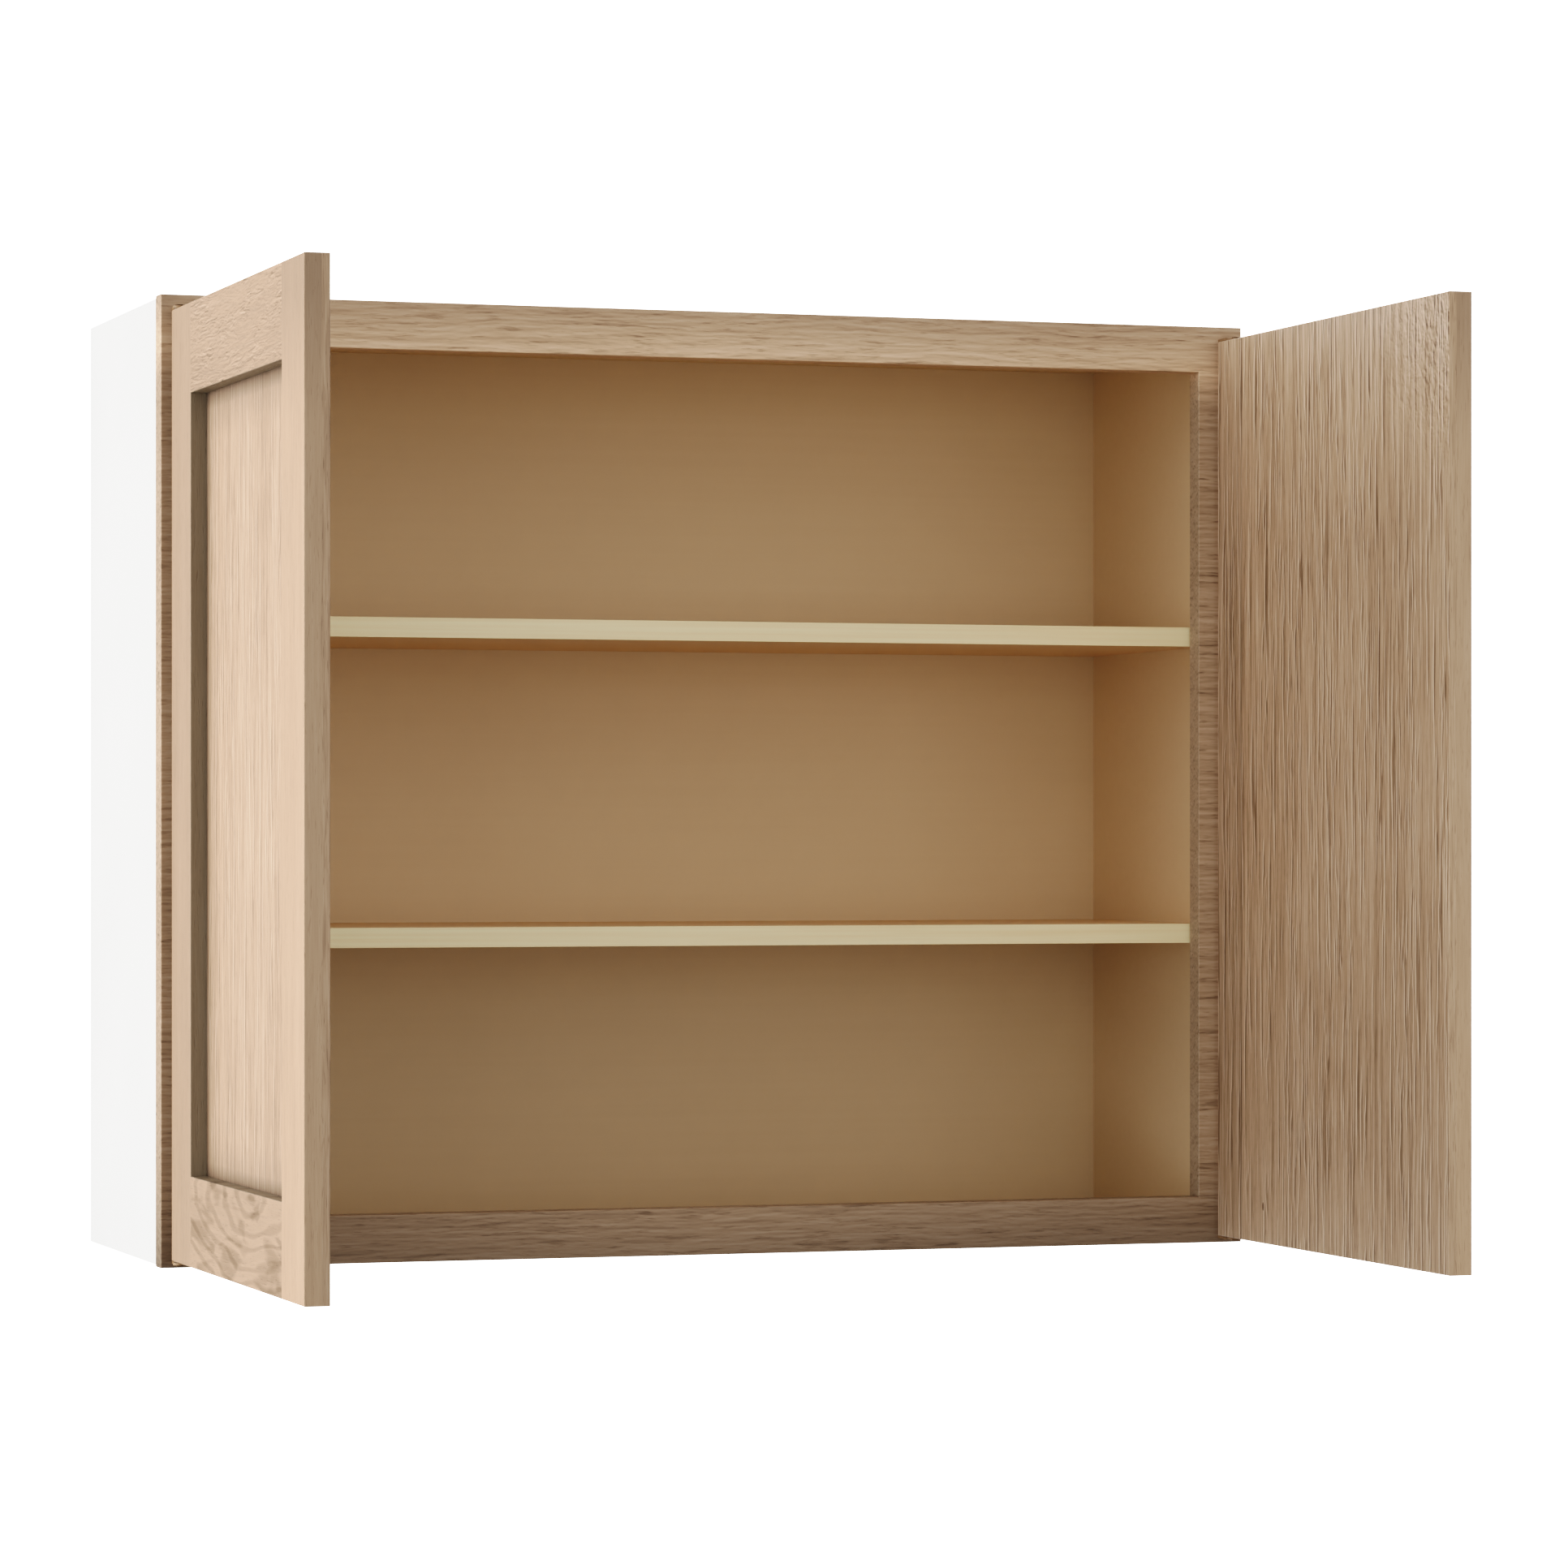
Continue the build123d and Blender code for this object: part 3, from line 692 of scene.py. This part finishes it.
# Radius of the rounding on a board's edges. The oak boards that a hand meets have theirs in the CAD.
ARRIS = {
    "upper_shelf_edge_band": 0.0004,
    "lower_shelf_edge_band": 0.0004,
    "top_panel": 0.0003,
    "bottom_panel": 0.0003,
    "left_side_facing": 0.0003,
    "right_side_facing": 0.0003,
}
for name, radius in ARRIS.items():
    bevel = nodes[name].modifiers.new("arris", "BEVEL")
    bevel.width = radius
    bevel.segments = 2
    bevel.limit_method = "ANGLE"
    bevel.angle_limit = math.radians(60)

# ---- Floor and light -----------------------------------------------------------------------------

FLOOR_BELOW = 1.37  # a wall cabinet hangs this far above the floor
FLOOR_HALF = 6.0  # half the length of its sides

SKY = (0.84, 0.84, 0.84, 1.0)
GROUND = (0.21, 0.21, 0.21, 1.0)
HORIZON = (-0.5, 0.2)  # heights of a direction: all ground below the first, all sky above the second
BACKDROP_STRENGTH = 4.0

# Softboxes: name, place, the point that it faces, length of a side in metres, and power in watts.
SOFTBOXES = (
    ("key_left", (-3.3, -0.1, 0.15), (-0.4, -0.5, 0.0), 1.6, 77),
    ("side_front", (-3.3, -2.2, -0.3), (0.4, -0.55, 0.0), 1.4, 35),
    ("front_left", (-2.6, -4.4, 0.1), (0.3, -0.3, 0.0), 1.4, 12),
    ("front_right", (0.7, -5.1, 0.1), (0.0, -0.2, 0.0), 1.4, 11),
    ("fill_right", (3.4, 0.2, 0.5), (0.4, 0.0, 0.0), 1.8, 60),
    ("fill_back", (0.6, 3.2, 0.9), (0.0, 0.0, 0.0), 1.8, 60),
)


def pale_floor():
    """Pale matt floor, clouded a little."""
    paint = Paint("floor")
    colour = paint.ramp(
        paint.cloud(1.5, detail=3.0),
        ((0.2, srgb(240, 239, 236)), (0.8, srgb(247, 246, 244))),
    )
    return paint.finish(colour, 0.8, specular=0.1)


floor_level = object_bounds()[0][2] - FLOOR_BELOW
mesh = bpy.data.meshes.new("floor")
corners = [(-1, -1), (1, -1), (1, 1), (-1, 1)]
mesh.from_pydata([(x * FLOOR_HALF, y * FLOOR_HALF, floor_level) for x, y in corners], [], [(0, 1, 2, 3)])
mesh.materials.append(pale_floor())
floor = bpy.data.objects.new("floor", mesh)
scene.collection.objects.link(floor)
floor.visible_diffuse = False  # no light comes back up from it


def studio_world():
    """Soft light, stronger from above than from below, behind a plain white backdrop."""
    world = bpy.data.worlds.new("studio")
    world.use_nodes = True
    tree = world.node_tree
    lighting = tree.nodes["Background"]
    coordinates = tree.nodes.new("ShaderNodeTexCoord")
    split = tree.nodes.new("ShaderNodeSeparateXYZ")
    height = tree.nodes.new("ShaderNodeMapRange")
    height.interpolation_type = "SMOOTHSTEP"
    height.inputs["From Min"].default_value, height.inputs["From Max"].default_value = HORIZON
    blend = tree.nodes.new("ShaderNodeMix")
    blend.data_type = "RGBA"
    ground, sky = [socket for socket in blend.inputs if socket.type == "RGBA"]
    ground.default_value = GROUND
    sky.default_value = SKY
    result = [socket for socket in blend.outputs if socket.type == "RGBA"][0]
    backdrop = tree.nodes.new("ShaderNodeBackground")
    backdrop.inputs["Color"].default_value = (1.0, 1.0, 1.0, 1.0)
    backdrop.inputs["Strength"].default_value = BACKDROP_STRENGTH
    rays = tree.nodes.new("ShaderNodeLightPath")
    choose = tree.nodes.new("ShaderNodeMixShader")
    for start, end in (
        (coordinates.outputs["Generated"], split.inputs[0]),
        (split.outputs["Z"], height.inputs["Value"]),
        (height.outputs["Result"], blend.inputs["Factor"]),
        (result, lighting.inputs["Color"]),
        (rays.outputs["Is Camera Ray"], choose.inputs["Fac"]),
        (lighting.outputs["Background"], choose.inputs[1]),
        (backdrop.outputs["Background"], choose.inputs[2]),
        (choose.outputs["Shader"], tree.nodes["World Output"].inputs["Surface"]),
    ):
        tree.links.new(start, end)
    scene.world = world


def softbox(name, place, target, size, power):
    """A square white area light that the camera doesn't see."""
    light = bpy.data.lights.new(name, "AREA")
    light.shape = "SQUARE"
    light.size = size
    light.energy = power
    lamp = bpy.data.objects.new(name, light)
    lamp.location = place
    lamp.rotation_euler = (Vector(target) - Vector(place)).to_track_quat("-Z", "Y").to_euler()
    lamp.visible_camera = False
    scene.collection.objects.link(lamp)


studio_world()
for box in SOFTBOXES:
    softbox(*box)

# ---- Camera and response -------------------------------------------------------------------------

CAMERA_PLACE = (-1.3418, -4.5499, -0.0464)
CAMERA_TURN = -18.224  # degrees about Z from looking at the wall, so the camera looks to the right
CAMERA_LENS = 126.49  # mm, on a sensor 36 mm wide
CAMERA_SHIFT = 0.036  # upward, as a share of the picture's size

camera_data = bpy.data.cameras.new("camera")
camera_data.sensor_width = 36.0
camera_data.lens = CAMERA_LENS
camera_data.shift_y = CAMERA_SHIFT
camera = bpy.data.objects.new("camera", camera_data)
camera.location = CAMERA_PLACE
camera.rotation_euler = (math.radians(90), 0.0, math.radians(CAMERA_TURN))
scene.collection.objects.link(camera)
scene.camera = camera

# A film-like response: scene light in, display light out.
RESPONSE = (
    (0.0, 0.0),
    (0.04, 0.012),
    (0.08, 0.039),
    (0.12, 0.078),
    (0.18, 0.148),
    (0.25, 0.234),
    (0.35, 0.35),
    (0.5, 0.486),
    (0.7, 0.642),
    (0.88, 0.765),
    (1.0, 0.825),
    (1.3, 0.915),
    (2.0, 0.975),
    (3.0, 1.0),
)
BRIGHTEST = RESPONSE[-1][0]
view = scene.view_settings
view.view_transform = "Standard"
view.look = "None"
view.use_curve_mapping = True
view.curve_mapping.white_level = (BRIGHTEST, BRIGHTEST, BRIGHTEST)
curve = view.curve_mapping.curves[3]
for light_in, light_out in RESPONSE[1:-1]:
    curve.points.new(light_in / BRIGHTEST, light_out)
view.curve_mapping.update()
